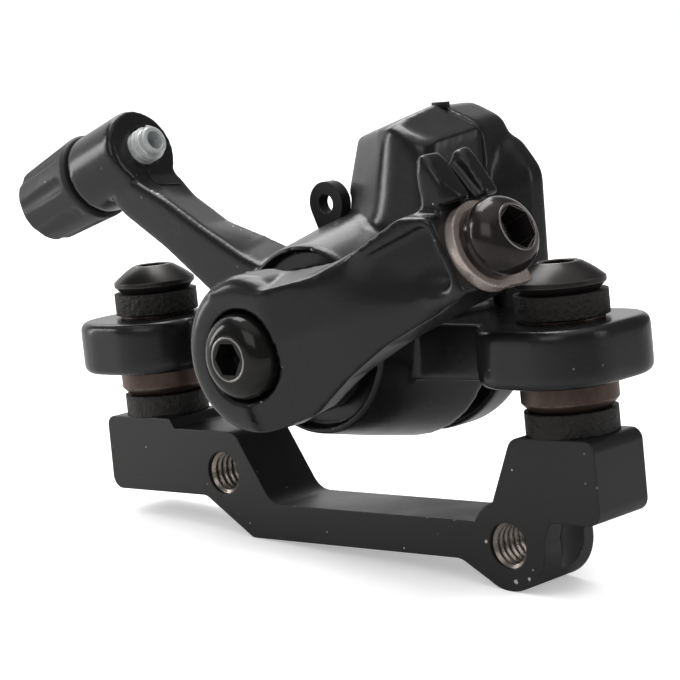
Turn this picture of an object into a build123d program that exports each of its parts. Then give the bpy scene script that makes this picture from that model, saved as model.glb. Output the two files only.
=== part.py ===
# Cable-pull disc brake caliper on its frame adapter, drawn in millimetres.
# Drawing axes: X runs from the left mount post to the right one, +Y goes inboard
# towards the wheel, +Z goes up along the mount bolts. Z 0 is the top of the posts
# and Y 0 is the middle of the adapter plate.
from build123d import *
from math import atan2, cos, degrees, radians, sin, sqrt
import os

os.makedirs("parts", exist_ok=True)

# adapter plate
plate_thick = 10.0
post_spacing = 74.2
bolt_y = 0.6
thread_r = 3.0
frame_holes = [(-21.1, -7.3), (29.45, -14.0)]
lobe_r = 5.9

# mount bolts and their ball washers
cup_r = 5.95
cup_h = 3.0
cone_r = 6.2
ear_bottom = 6.8
ear_top = 14.2
ball_r = 8.0
seat_r = 5.05
upper_cup_z = 14.67
washer_bore = 3.4
shank_gap = 0.05
bolt_head_r = 5.8
bolt_head_h = 3.7
bolt_rim_h = 1.6
bolt_length = 24.0

# pivot, cam and rotor space
pivot = (3.0, 12.7)
rim_y = -10.0
rim_r = 12.5
slot_front = 8.3
slot_back = 11.9
slot_r = 16.2
parting_y = 9.6
rotor_reach = 69.5
rotor_angle = 227.0
rotor_space_r = 81.0
cavity_r = 11.8
cavity_floor = -8.0
chamber_r = 9.0
chamber_floor = -6.0
pad_pocket_r = 11.6
pad_pocket_y = 3.2
shaft_r = 4.5
bush_r = 5.5
cam_r = 8.6
ball_pitch = 5.6
cam_ball_r = 1.9
groove_gap = 0.05
ramp_slope = 12.0
driver_back = -5.2
driver_face = -1.6
foot_face = -1.0
foot_back = 2.2
fit_gap = 0.05

# pads
pad_plate_y = 3.7
pad_plate_t = 1.8
pad_r = 11.0
lining_r = 10.2
lining_t = 3.1
tab_eye = (-4.4, 29.1)
tab_eye_r = 3.0
tab_hole_r = 1.3
tab_gap = 0.3
rotor_mid = (slot_front + slot_back) / 2
tab_slot = (8.4, 6.0, 12.0)

# inner pad adjuster
housing_back = 24.0
spindle_r = 3.5
spindle_disc_r = 7.2
spindle_disc_t = 1.6
spindle_end = 25.4
dial_bore = 8.0
dial_inside = 19.2
dial_rim_r = 10.6
dial_face = 27.0
dial_soft = 0.8
notch_r = 1.6
notch_ring = 11.4

# lever
lever_front = -22.6
lever_back = -15.0
hub_r = 10.25
recess_r = 6.0
recess_depth = 2.2
skirt_r = 9.6
clamp_tilt = 22.5
clamp_centre = (34.5, -11.0, 24.65)
clamp_bolt_r = 2.5
clamp_bolt_deep = 12.0
scoop_lean = 5.0
fall_away = 12.0

# cable adjuster
barrel_tilt = 19.5
barrel_root = (-29.5, -5.4, 38.8)
boss_r = 5.8
boss_length = 10.4
barrel_r = 2.5
barrel_proud = 2.4
knob_length = 12.6
knob_gap = 0.5
knob_lobes = 8

# the finished part stands on the outer mouth of the lower frame hole
shift = Location((-frame_holes[1][0], plate_thick / 2, -frame_holes[1][1]))


def upright(points, radius):
    """Closed outline in the XZ plane with a round at each corner."""
    wire = FilletPolyline(*[(x, 0, z) for x, z in points], radius=radius, close=True)
    return make_face(wire.edges())


def slab(points, radius, y_from, y_to):
    """An XZ outline made solid between two depths."""
    face = upright(points, radius).moved(Location((0, y_from, 0)))
    return Part() + extrude(face, amount=y_to - y_from, dir=(0, 1, 0))


def rod(x, z, radius, y_from, y_to):
    """Round bar along Y."""
    body = Cylinder(radius, y_to - y_from, align=(Align.CENTER, Align.CENTER, Align.MIN))
    return Location((x, y_from, z), (-90, 0, 0)) * body


def post(x, y, radius, z_from, z_to):
    """Round bar along Z."""
    body = Cylinder(radius, z_to - z_from, align=(Align.CENTER, Align.CENTER, Align.MIN))
    return Location((x, y, z_from)) * body


def turned(profile, x, z):
    """Profile of (radius, y) corners turned about a Y axis through x, z."""
    wire = Polyline(*[(r, y, 0) for r, y in profile], close=True)
    return Location((x, 0, z)) * revolve(make_face(wire.edges()), Axis.Y, 360)


def stack(profile, place):
    """Profile of (radius, height) corners turned about the Z axis of a place."""
    wire = Polyline(*[(r, 0, h) for r, h in profile], close=True)
    return place * revolve(make_face(wire.edges()), Axis.Z, 360)


def hexagon(across_flats, depth):
    """Hexagon socket that opens upwards at height zero."""
    face = RegularPolygon(across_flats / 2, 6, major_radius=False)
    return Location((0, 0, -depth)) * extrude(face, amount=depth + 1)


def screw(head_r, head_h, flat_r, rim_h, bulge, shank, length, socket, place, collar=0.0):
    """Button head screw whose head sits on height zero of its place, on a tapered collar if it has one."""
    fall = head_h - rim_h
    width = head_r - flat_r
    middle = ((head_r + flat_r) / 2 + bulge * fall, 0, (rim_h + head_h) / 2 + bulge * width)
    dome = ThreePointArc((head_r, 0, rim_h), middle, (flat_r, 0, head_h))
    under = [(head_r - collar, 0, 0), (head_r, 0, collar)] if collar else [(head_r, 0, 0)]
    rest = Polyline((flat_r, 0, head_h), (0, 0, head_h), (0, 0, 0), *under, (head_r, 0, rim_h))
    head = revolve(make_face(dome.edges() + rest.edges()), Axis.Z, 360)
    body = head + Location((0, 0, -length)) * Cylinder(
        shank, length + 0.5, align=(Align.CENTER, Align.CENTER, Align.MIN))
    body -= Location((0, 0, head_h)) * hexagon(socket, head_h * 0.72)
    return place * body


def save(name, *solids):
    """Write one node in the frame of the finished part."""
    placed = [s.moved(shift) for item in solids for s in item.solids()]
    whole = placed[0] if len(placed) == 1 else Compound(children=placed)
    export_step(whole, f"parts/{name}.step")
    print(name, len(placed), round(sum(s.volume for s in placed), 1), all(s.is_valid for s in placed))


post_x = [-post_spacing / 2, post_spacing / 2]

# adapter plate with two posts, the recess between them and the lower lobe
plate_outline = [
    (-44.2, 0.0), (-31.0, 0.0), (-30.2, -1.35), (-18.2, -1.35), (-12.2, -11.2), (26.3, -11.2),
    (31.4, 0.0), (44.4, 0.0), (44.4, -10.6), (36.4, -10.6), (35.3, -13.4), (29.45, -17.0),
    (26.2, -18.9), (21.4, -16.2), (-16.4, -16.2), (-25.0, -10.7), (-44.4, -10.7)]
plate_rounds = [1.4, 0.5, 0.5, 2.5, 3.5, 4.0, 2.0, 1.5, 1.8, 1.0, 0.0, 0.0, 0.0, 3.0, 1.2, 2.0, 1.8]
half_plate = plate_thick / 2
adapter = slab(plate_outline, plate_rounds, -half_plate, half_plate)
adapter += rod(frame_holes[1][0], frame_holes[1][1], lobe_r, -half_plate, half_plate)
for x, z in frame_holes:
    adapter -= rod(x, z, thread_r, -half_plate - 1, half_plate + 1)
for x in post_x:
    adapter -= post(x, bolt_y, thread_r, -21, 1)
save("adapter_bracket", adapter)

# ball washers: a cup on each post, a cone under the ear, a cone and a cup on top of the ear
seat_rise = sqrt(ball_r ** 2 - seat_r ** 2)


def arc_profile(centre_h, radius, r_from, r_to, side):
    """Arc of a ball surface between two radii, above or below its centre."""
    def at(r):
        return (r, 0, centre_h + side * sqrt(radius ** 2 - r ** 2))
    return ThreePointArc(at(r_from), at((r_from + r_to) / 2), at(r_to))


def ball_washer(centre_h, side, ball, outer, flat_h):
    """Ring whose one face is part of a ball and whose other face is flat."""
    arc = arc_profile(centre_h, ball, outer, washer_bore, side)
    start = arc @ 0
    end = arc @ 1
    rest = Polyline(end, (washer_bore, 0, flat_h), (outer, 0, flat_h), start)
    return revolve(make_face(arc.edges() + rest.edges()), Axis.Z, 360)


def cup_washer(centre_h, side, mouth_h, flat_h):
    """Ring with a hollow ball seat in the face that looks at the cone."""
    ball = ball_r + fit_gap
    mouth_r = sqrt(ball ** 2 - (mouth_h - centre_h) ** 2)
    arc = arc_profile(centre_h, ball, mouth_r, washer_bore, side)
    rest = Polyline(arc @ 1, (washer_bore, 0, flat_h), (cup_r, 0, flat_h), (cup_r, 0, mouth_h), arc @ 0)
    return revolve(make_face(arc.edges() + rest.edges()), Axis.Z, 360)


lower_centre = cup_h + seat_rise
upper_centre = upper_cup_z - seat_rise
lower_cup = cup_washer(lower_centre, -1, cup_h, 0.0)
lower_cone = ball_washer(lower_centre, -1, ball_r, cone_r, ear_bottom)
upper_cone = ball_washer(upper_centre, 1, ball_r, 5.3, ear_top)
upper_cup = cup_washer(upper_centre, 1, upper_cup_z, upper_cup_z + cup_h)
posts = [Location((x, bolt_y, 0)) for x in post_x]
save("lower_cup_washers", *[place * lower_cup for place in posts])
save("lower_cone_washers", *[place * lower_cone for place in posts])
save("upper_cone_washers", *[place * upper_cone for place in posts])
save("upper_cup_washers", *[place * upper_cup for place in posts])

# mount bolts
head_z = upper_cup_z + cup_h
save("mount_bolts", *[
    screw(bolt_head_r, bolt_head_h, 2.9, bolt_rim_h, 0.03, thread_r - shank_gap, bolt_length, 4.0,
          Location((x, bolt_y, head_z)), collar=1.0)
    for x in post_x])

# space swept by the rotor and its carrier
axle = (pivot[0] + rotor_reach * cos(radians(rotor_angle)),
        pivot[1] + rotor_reach * sin(radians(rotor_angle)))
rotor_space = rod(axle[0], axle[1], rotor_space_r, slot_front, slot_back)

# outer half of the caliper
housing = turned([(0, rim_y), (rim_r - 0.4, rim_y), (rim_r, rim_y + 0.4), (14.4, -1.0),
                  (slot_r, slot_front), (slot_r, parting_y), (0, parting_y)], *pivot)


def ear(x, half_x, y_from, y_to):
    """Mount ear with rounded corners and softened top and bottom edges."""
    face = Location((x, (y_from + y_to) / 2, ear_bottom)) * RectangleRounded(2 * half_x, y_to - y_from, 7.5)
    body = extrude(face, amount=ear_top - ear_bottom)
    return fillet(body.faces().sort_by(Axis.Z)[-1].edges() + body.faces().sort_by(Axis.Z)[0].edges(), 1.1)


left_ear = ear(post_x[0], 9.7, -10.0, 7.5)
right_ear = ear(post_x[1], 9.7, -10.0, 10.6)
neck_h = ear_top - ear_bottom
neck_z = (ear_top + ear_bottom) / 2


def neck(x_from, x_to, y_from, y_to):
    """Flat web between an ear and the housing, as thick as the ear."""
    middle = Location(((x_from + x_to) / 2, (y_from + y_to) / 2, neck_z))
    return middle * Box(abs(x_to - x_from), y_to - y_from, neck_h)


left_neck = neck(post_x[0] + 5.1, pivot[0] - 9.0, -2.2, 7.4)
right_neck = neck(pivot[0] + 12.0, post_x[1] - 7.1, -4.0, parting_y)

bridge_low = [(18.9, -1.2), (6.5, -1.2), (-6.3, 4.2), (-6.3, parting_y), (19.6, parting_y)]
bridge_high = [(17.6, -0.3), (12.2, -0.3), (2.2, 6.2), (2.2, parting_y), (19.3, parting_y)]
bridge_rounds = [2.2, 2.6, 2.2, 0.0, 0.0]
bridge_root = 16.0
bridge_top = 43.0
ridge_x = 12.0
ridge_front = 39.4
ridge_back = 41.4
left_fall = -15.0
right_fall = 24.0


def level_outline(points, rounds, z):
    wire = FilletPolyline(*[(x, y, z) for x, y in points], radius=rounds, close=True)
    return make_face(wire.edges())


def roof(rise, fall):
    """Everything above one slope of the roof; the slopes meet along the ridge."""
    place = Location((ridge_x, -0.5, ridge_front), (rise, 0, 0)) * Location((0, 0, 0), (0, fall, 0))
    return place * Box(80, 60, 20, align=(Align.CENTER, Align.CENTER, Align.MIN))


rise = degrees(atan2(ridge_back - ridge_front, parting_y + 0.5))
bridge = loft([level_outline(bridge_low, bridge_rounds, bridge_root),
               level_outline(bridge_high, bridge_rounds, bridge_top)], ruled=True)
bridge = bridge - roof(rise, right_fall) - roof(rise, left_fall)
ridge_edges = [
    e for e in bridge.edges()
    if e.center().Z > bridge_root + 10 and e.center().Y < parting_y - 0.1 and abs(e.tangent_at(0.5).Z) < 0.5]
bridge = fillet(ridge_edges, 0.9)

arm_front_y = -9.6
arm_back_y = -1.0
arm_front = [(-29.6, 38.2), (-27.9, 34.4), (-22.7, 32.2), (-15.5, 28.0), (-8.4, 24.0), (-3.0, 21.8),
             (-5.0, 12.5), (-14.7, 18.6), (-23.3, 25.0), (-30.8, 29.6), (-33.2, 31.8)]
arm_back = [(-29.4, 38.0), (-28.6, 35.2), (-24.4, 31.3), (-18.5, 27.7), (-11.2, 25.4), (-3.0, 22.4),
            (-5.0, 12.5), (-14.2, 18.6), (-22.9, 24.8), (-30.4, 29.9), (-32.8, 32.0)]
arm_rounds = [0.0, 1.0, 6.0, 0.0, 6.0, 0.0, 0.0, 0.0, 8.0, 3.0, 0.0]
stop_arm = loft([
    upright(arm_front, arm_rounds).moved(Location((0, arm_front_y, 0))),
    upright(arm_back, arm_rounds).moved(Location((0, arm_back_y, 0)))], ruled=True)
stop_arm = fillet(stop_arm.faces().sort_by(Axis.Y)[0].edges(), 0.7)

barrel_place = Location(barrel_root, (0, -90 - barrel_tilt, 0))
boss = barrel_place * Location((-0.2, -0.3, 0)) * Cylinder(
    boss_r, boss_length, align=(Align.CENTER, Align.CENTER, Align.MIN))
boss = fillet(boss.edges().filter_by(GeomType.CIRCLE), 0.5)

outer = housing + left_neck + right_neck + left_ear + right_ear + bridge + stop_arm + boss
outer -= rotor_space
outer -= turned([(0, rim_y - 1), (cavity_r, rim_y - 1), (cavity_r, cavity_floor), (0, cavity_floor)], *pivot)
outer -= rod(*pivot, bush_r, -12, 0)
outer -= rod(*pivot, chamber_r, chamber_floor, 6)
outer -= rod(*pivot, pad_pocket_r, pad_pocket_y, slot_back)
outer -= Location((tab_eye[0] - 0.3, parting_y - 3.4, 24.0)) * Box(*tab_slot)
outer -= rod(*tab_eye, tab_eye_r + tab_gap, pad_pocket_y, parting_y)
outer -= barrel_place * Cylinder(barrel_r + fit_gap, 40)
ear_slots = [
    Location((x, bolt_y, neck_z), (0, 0, 90)) * extrude(SlotOverall(9.4, 6.6), amount=6, both=True)
    for x in post_x]
outer = outer - ear_slots

# bolts that join the two halves
body_bolts = [(11.0, 33.0), (15.6, 23.0)]
bolt_hole_end = 2.6
head_seat = 13.4
for x, z in body_bolts:
    outer -= rod(x, z, thread_r, bolt_hole_end, parting_y + 1)
save("outer_body", outer)

# inner half of the caliper
inner_back = 17.6
high_front = [(2.2, 38.2), (ridge_x, 41.3), (19.3, 38.1), (19.6, 22.0), (10.0, 12.0), (-6.0, 14.0),
              (-6.0, 23.0), (2.2, 30.0)]
high_back = [(3.0, 37.6), (ridge_x - 0.6, 41.2), (17.6, 38.6), (18.6, 22.0), (10.0, 12.0), (-6.0, 14.0),
             (-6.0, 23.0), (2.4, 30.0)]
high_rounds = [2.0, 4.0, 3.0, 0.0, 0.0, 0.0, 0.0, 0.0]
inner_high = loft([
    upright(high_front, high_rounds).moved(Location((0, parting_y, 0))),
    upright(high_back, high_rounds).moved(Location((0, inner_back, 0)))], ruled=True)
rear_edges = [e for e in inner_high.faces().sort_by(Axis.Y)[-1].edges() if e.center().Z > 27]
inner_high = fillet(rear_edges, 1.2)
bulge_front = 10.4
bulge_full = 15.0
bulge_back = 18.4
small_bulge = [(6.0, 33.0), (19.0, 33.4), (19.6, 29.0), (19.4, 8.5), (8.0, 9.0)]
full_bulge = [(6.0, 35.0), (18.9, 36.5), (22.5, 31.4), (21.9, 7.0), (8.0, 8.0)]
small_rounds = [0.0, 1.0, 1.0, 1.0, 0.0]
full_rounds = [0.0, 3.0, 4.0, 3.0, 0.0]
swell = loft([
    upright(small_bulge, small_rounds).moved(Location((0, bulge_front, 0))),
    upright(full_bulge, full_rounds).moved(Location((0, bulge_full, 0)))], ruled=True)
swell += slab(full_bulge, full_rounds, bulge_full, bulge_back)
swell = fillet([e for e in swell.faces().sort_by(Axis.Y)[-1].edges() if e.center().X > 10], 1.5)
inner_housing = turned([(0, slot_back), (slot_r, slot_back), (slot_r, 16.5), (13.5, housing_back - 1.4),
                        (12.1, housing_back), (0, housing_back)], *pivot)
inner = inner_high + swell + inner_housing
inner -= rotor_space
inner -= rod(*pivot, pad_pocket_r, parting_y, 2 * rotor_mid - pad_pocket_y)
inner -= rod(*pivot, dial_bore, 16.0, housing_back + 1)
inner -= Location((tab_eye[0] - 0.3, 2 * rotor_mid - parting_y + 3.4, 24.0)) * Box(*tab_slot)
for x, z in body_bolts:
    inner -= rod(x, z, thread_r + 0.3, parting_y - 1, inner_back + 1)
    inner -= rod(x, z, 5.3, head_seat, bulge_back + 5)
save("inner_body", inner)

body_bolt_length = head_seat - bolt_hole_end - 0.4
save("body_bolts", *[
    screw(5.0, 4.0, 4.4, 3.4, 0.1, thread_r - shank_gap, body_bolt_length, 5.0,
          Location((x, head_seat, z), (-90, 0, 0)))
    for x, z in body_bolts])

# bearing parts of the cam
save("shaft_bush", turned([(shaft_r + fit_gap, cavity_floor), (bush_r, cavity_floor), (bush_r, chamber_floor),
                           (shaft_r + fit_gap, chamber_floor)], *pivot))
save("thrust_washer", turned([(shaft_r + fit_gap, chamber_floor), (8.4, chamber_floor), (8.4, driver_back),
                              (shaft_r + fit_gap, driver_back)], *pivot))


def cam_place(step):
    """Place of one cam ball, with X pointing out from the pivot."""
    return Location((pivot[0], ball_y, pivot[1]), (-90, 0, 0)) * Location((0, 0, 0), (0, 0, 120 * step))


def ramp_groove(step):
    """Arc groove that climbs round the foot while the lever pulls the balls along it."""
    ring = Torus(ball_pitch, cam_ball_r + groove_gap)
    wedge = Location((0, 0, -4)) * extrude(
        make_face(Polyline((0, 0), (9, -12.5), (16, 0), (12, 6.0), close=True).edges()), amount=8)
    return cam_place(step) * Location((0, 0, 0), (ramp_slope, 0, 0)) * (ring & wedge)


ball_y = (driver_face + foot_face) / 2
ball_spots = [cam_place(step) * Location((ball_pitch, 0, 0)) for step in range(3)]
driver = turned([(0, driver_back), (cam_r, driver_back), (cam_r, driver_face), (0, driver_face)], *pivot)
driver += rod(*pivot, shaft_r, lever_back - 2, driver_back + 0.5)
driver -= rod(*pivot, thread_r, lever_back - 3, lever_back + 2.5)
driver -= [spot * Sphere(cam_ball_r + groove_gap) for spot in ball_spots]
save("cam_shaft", driver)

foot = turned([(0, foot_face), (cam_r, foot_face), (cam_r, foot_back), (6.0, foot_back), (6.0, pad_plate_y),
               (0, pad_plate_y)], *pivot)
foot -= [ramp_groove(step) for step in range(3)]
save("pressure_foot", foot)

save("cam_balls", *[spot * Sphere(cam_ball_r) for spot in ball_spots])

# pads: a round backing plate with an eyed tab, and its lining
def pad_plate(y_from):
    plate = rod(*pivot, pad_r, y_from, y_from + pad_plate_t)
    eye = rod(*tab_eye, tab_eye_r, y_from, y_from + pad_plate_t)
    stem = slab([(-7.2, 28.0), (-5.6, 24.0), (-5.8, 18.0), (-3.0, 18.0), (-3.2, 24.0), (-1.6, 28.0)],
                0.0, y_from, y_from + pad_plate_t)
    return plate + eye + stem - rod(*tab_eye, tab_hole_r, y_from - 1, y_from + pad_plate_t + 1)


save("outer_pad_plate", pad_plate(pad_plate_y))
save("inner_pad_plate", pad_plate(2 * rotor_mid - pad_plate_y - pad_plate_t))
lining_y = pad_plate_y + pad_plate_t
save("outer_pad_lining", rod(*pivot, lining_r, lining_y, lining_y + lining_t))
save("inner_pad_lining", rod(*pivot, lining_r, 2 * rotor_mid - lining_y - lining_t, 2 * rotor_mid - lining_y))

# inner pad adjuster: a spindle that pushes the pad, and the dial nut that moves it
inner_plate_back = 2 * rotor_mid - pad_plate_y
disc_back = inner_plate_back + spindle_disc_t
save("inner_spindle", turned([
    (0, inner_plate_back), (spindle_disc_r, inner_plate_back), (spindle_disc_r, disc_back),
    (spindle_r, disc_back), (spindle_r, spindle_end), (0, spindle_end)], *pivot))
dial_neck_r = dial_bore - fit_gap
dial = turned([
    (spindle_r + fit_gap, dial_inside), (dial_neck_r, dial_inside), (dial_neck_r, housing_back),
    (dial_rim_r, housing_back), (dial_rim_r, dial_face - dial_soft), (dial_rim_r - dial_soft, dial_face),
    (spindle_r + fit_gap, dial_face)], *pivot)
for k in range(12):
    notch_x = pivot[0] + notch_ring * cos(radians(30 * k))
    notch_z = pivot[1] + notch_ring * sin(radians(30 * k))
    dial -= rod(notch_x, notch_z, notch_r, housing_back - 1, dial_face + 1)
save("inner_dial", dial)

# lever: hub, cranked arm, and two horns with the cable groove between them
def end_line(t):
    """Point on the clamp face of the lever, a distance up from the clamp axis."""
    return (clamp_centre[0] - t * sin(radians(clamp_tilt)), clamp_centre[2] + t * cos(radians(clamp_tilt)))


clamp_place = Location(clamp_centre, (0, 90 - clamp_tilt, 0))
front_side = [(-2.0, 20.9), (7.0, 20.9), (15.0, 22.1), (22.7, 25.2), (28.8, 28.9), end_line(5.0),
              end_line(-5.3), (29.8, 16.4), (23.4, 13.1), (17.9, 9.0), (12.0, 4.2), (6.0, 2.8)]
back_side = [(-2.0, 24.6), (7.0, 24.8), (14.0, 25.6), (21.0, 28.3), (27.6, 30.6), end_line(5.0),
             end_line(-5.3), (29.8, 16.9), (23.4, 13.9), (17.2, 10.6), (12.0, 6.6), (6.0, 3.2)]
side_rounds = [0.0, 10.0, 12.0, 12.0, 3.0, 0.8, 1.0, 8.0, 8.0, 8.0, 4.0, 0.0]
end_back = -6.4
side = loft([
    upright(front_side, side_rounds).moved(Location((0, -23.0, 0))),
    upright(back_side, side_rounds).moved(Location((0, end_back, 0)))], ruled=True)
hub = rod(*pivot, hub_r, lever_front, -8.5)
hub = fillet(hub.edges().group_by(Axis.Y)[0], 2.2)
arm_root = (8.0, lever_front)
arm_end = (37.5, -16.9)
plan_outline = [(-8.0, lever_front), arm_root, arm_end, (37.5, end_back), (31.0, end_back),
                (15.0, lever_back), (-8.0, lever_back)]
plan_wire = FilletPolyline(*[(x, y, 0) for x, y in plan_outline], radius=[0, 12, 0, 0, 4, 8, 0], close=True)
plan = extrude(make_face(plan_wire.edges()), amount=45)

# two horns stand on the end of the lever, the front one with its outer corner cut back
horn_front = -15.6
horn_outline = [(24.5, 25.5), (29.6, 30.4), (29.3, 33.5), (29.1, 36.3), (30.5, 37.0), (32.6, 34.1),
                (34.9, 30.9), end_line(6.1), end_line(1.0)]
horns = slab(horn_outline, [0.0, 1.2, 6.0, 1.0, 1.0, 4.0, 0.5, 0.4, 0.0], horn_front, end_back)
corner_cut = Polyline((32.3, horn_front - 1, 20), (36.0, -11.8, 20), (40.0, -11.8, 20),
                      (40.0, horn_front - 1, 20), close=True)
horns -= extrude(make_face(corner_cut.edges()), amount=25)
lever = (side + hub) & plan
lever += horns
skirt = turned([(8.6, lever_back - 1), (skirt_r, lever_back - 1), (skirt_r, -9.0), (8.6, -9.0)], *pivot)
lever += skirt
lever -= rod(*pivot, recess_r, lever_front - 1, lever_front + recess_depth)
lever -= rod(*pivot, shaft_r + shank_gap, lever_back - 2, lever_back + 8)
lever -= rod(*pivot, thread_r, lever_front - 1, lever_back)
cable_floor = [(26.0, 32.0), (26.0, 39.0), (38.0, 39.0), (38.0, 30.0), end_line(6.1), (30.6, 31.8)]
lever -= slab(cable_floor, [0, 0, 0, 0, 0, 3.0], -11.0, -9.7)
groove_lip = [(26.0, 35.2), (26.0, 39.0), (38.0, 39.0), (38.0, 29.9), (34.0, 30.4), (29.0, 36.0)]
lever -= slab(groove_lip, 0.0, -11.8, -8.9)

# the arm's front is hollowed towards the clamp and falls away along its lower edge
front_tilt = degrees(atan2(arm_end[1] - arm_root[1], arm_end[0] - arm_root[0]))
front_place = Location((*arm_root, 0), (0, 0, front_tilt))
scoop_place = front_place * Location((6.5, 0, 0), (0, 0, scoop_lean))
scoop_outline = [(2.0, 21.9), (17.9, 28.6), (21.2, 20.6), (11.0, 19.4)]
lever -= scoop_place * slab(scoop_outline, [2.0, 1.2, 1.2, 4.0], -4.0, 0.0)
for start, heading in [((0.6, 10.2), -32.6), ((9.7, 16.2), -13.4)]:
    edge_place = front_place * Location((start[0], 0, start[1]), (0, heading, 0))
    leaned = edge_place * Location((0, 0, 0), (fall_away, 0, 0))
    lever -= leaned * Location((4.0, -5.0, -10.0)) * Box(40.0, 10.0, 20.0)
lever -= clamp_place * Location((0, 0, -clamp_bolt_deep)) * Cylinder(
    clamp_bolt_r, clamp_bolt_deep + 2, align=(Align.CENTER, Align.CENTER, Align.MIN))
save("lever_arm", lever)

save("lever_bolt", screw(5.6, 4.4, 3.0, 1.8, 0.2, thread_r - shank_gap, 6.0, 4.0,
                         Location((pivot[0], lever_front + recess_depth, pivot[1]), (90, 0, 0))))

# cable clamp on the end of the lever
washer_t = 1.5
washer = Cylinder(5.7, washer_t, align=(Align.CENTER, Align.CENTER, Align.MIN))
washer += Location((2.8, 2.55, washer_t / 2)) * Box(5.6, 5.1, washer_t)
washer -= Cylinder(clamp_bolt_r + 0.2, 2 * washer_t + 2)
save("clamp_washer", clamp_place * washer)
save("clamp_bolt", screw(4.75, 5.3, 3.1, 1.4, 0.2, clamp_bolt_r - shank_gap, 9.0, 5.0,
                         clamp_place * Location((0, 0, washer_t))))

# cable adjuster: threaded barrel pressed into a ribbed knob
barrel_length = barrel_proud + boss_length + knob_gap + 6.0
barrel = Location((0, 0, -barrel_proud)) * Cylinder(
    barrel_r, barrel_length, align=(Align.CENTER, Align.CENTER, Align.MIN))
barrel -= Cylinder(1.3, 60)
save("adjuster_barrel", barrel_place * barrel)
knob_start = boss_length + knob_gap
washer_hole = barrel_r + fit_gap
save("knob_washer", barrel_place * stack([
    (washer_hole, 0), (5.2, 0), (5.2, knob_gap), (washer_hole, knob_gap)], Location((0, 0, boss_length))))
knob = stack([(barrel_r, 0), (5.9, 0), (6.3, 0.5), (5.6, knob_length - 0.8), (4.7, knob_length),
              (3.0, knob_length), (3.0, 7.0), (barrel_r, 6.0)], Location((0, 0, knob_start)))
flute_ring = 7.2
flute_r = 1.6
flute_start = knob_start + 2.4
tip_middle = flute_r * sin(radians(45))
flute_tip = ThreePointArc((0, 0, -flute_r), (tip_middle, 0, -tip_middle), (flute_r, 0, 0))
flute_rest = Polyline((flute_r, 0, 0), (flute_r, 0, knob_length), (0, 0, knob_length), (0, 0, -flute_r))
flute = revolve(make_face(flute_tip.edges() + flute_rest.edges()), Axis.Z, 360)
knob -= [Location((0, 0, 0), (0, 0, 360 / knob_lobes * k)) * Location((flute_ring, 0, flute_start)) * flute
         for k in range(knob_lobes)]
save("adjuster_knob", barrel_place * knob)
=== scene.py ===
import bpy
import math
from mathutils import Matrix, Vector


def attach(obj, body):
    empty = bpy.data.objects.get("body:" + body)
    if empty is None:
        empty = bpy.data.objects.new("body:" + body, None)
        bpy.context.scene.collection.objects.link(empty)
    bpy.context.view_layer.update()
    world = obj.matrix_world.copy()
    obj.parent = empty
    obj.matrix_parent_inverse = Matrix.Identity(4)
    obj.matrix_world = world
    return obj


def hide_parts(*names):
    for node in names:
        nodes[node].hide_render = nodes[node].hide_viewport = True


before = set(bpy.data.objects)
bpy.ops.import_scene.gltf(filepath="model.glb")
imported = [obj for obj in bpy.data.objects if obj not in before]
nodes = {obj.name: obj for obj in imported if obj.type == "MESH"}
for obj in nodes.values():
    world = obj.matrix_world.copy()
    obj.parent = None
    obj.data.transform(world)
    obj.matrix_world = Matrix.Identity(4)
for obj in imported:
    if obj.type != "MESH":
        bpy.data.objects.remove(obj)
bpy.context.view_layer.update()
mm = 0.001
imageSize = 680

# the drawing's own axes start in the middle of the two post tops, the part starts at the lower frame hole
drawingOrigin = Vector((-29.45, 5.0, 14.0)) * mm


def fromDrawing(x, y, z):
    return drawingOrigin + Vector((x, y, z)) * mm


def addNode(tree, kind, **values):
    # a value named after one of the node's settings is set there, any other goes to the socket of that name
    node = tree.nodes.new(kind)
    for key, value in values.items():
        if hasattr(node, key):
            setattr(node, key, value)
        else:
            node.inputs[key.replace("_", " ")].default_value = value
    return node


# stage and camera
camera = {
    "place": (227.05, -238.46, 54.46),
    "right": (0.72763, 0.6784, -0.10161),
    "up": (-0.01634, 0.16522, 0.98612),
    "back": (0.68577, -0.71587, 0.13131),
    "lens": 130.87,
    "sensor": 36,
    "shiftX": 0.0042,
    "shiftY": 0.0031,
    "near": 0.01,
    "far": 20,
}
camData = bpy.data.cameras.new("camera")
camData.lens = camera["lens"]
camData.sensor_width = camera["sensor"]
camData.shift_x = camera["shiftX"]
camData.shift_y = camera["shiftY"]
camData.clip_start = camera["near"]
camData.clip_end = camera["far"]
cam = bpy.data.objects.new("camera", camData)
turn = Matrix((camera["right"], camera["up"], camera["back"])).transposed()
cam.matrix_world = Matrix.Translation(fromDrawing(*camera["place"])) @ turn.to_4x4()
bpy.context.scene.collection.objects.link(cam)
bpy.context.scene.camera = cam
bpy.context.scene.view_settings.view_transform = "Standard"

# contact, contactReach, contactFrom and contactTo set the painted contact shade under the pieces
floorInfo = {"leftX": -15.9, "leftZ": -16.25, "rightX": 30.0, "rightZ": -19.95, "size": 1.6,
             "colour": (0.8, 0.8, 0.79), "rough": 0.7, "specular": 0.2,
             "lift": 0.8, "near": 0.06, "far": 0.26,
             "contact": 0.5, "contactReach": 0.03, "contactFrom": 0.38, "contactTo": 0.62}
floorSlope = math.atan2(floorInfo["leftZ"] - floorInfo["rightZ"], floorInfo["rightX"] - floorInfo["leftX"])
bpy.ops.object.select_all(action="DESELECT")
bpy.ops.mesh.primitive_plane_add(size=floorInfo["size"], rotation=(0, floorSlope, 0),
                                 location=fromDrawing(floorInfo["rightX"], 0, floorInfo["rightZ"]))
floor = bpy.context.object
floor.name = "floor"
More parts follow.
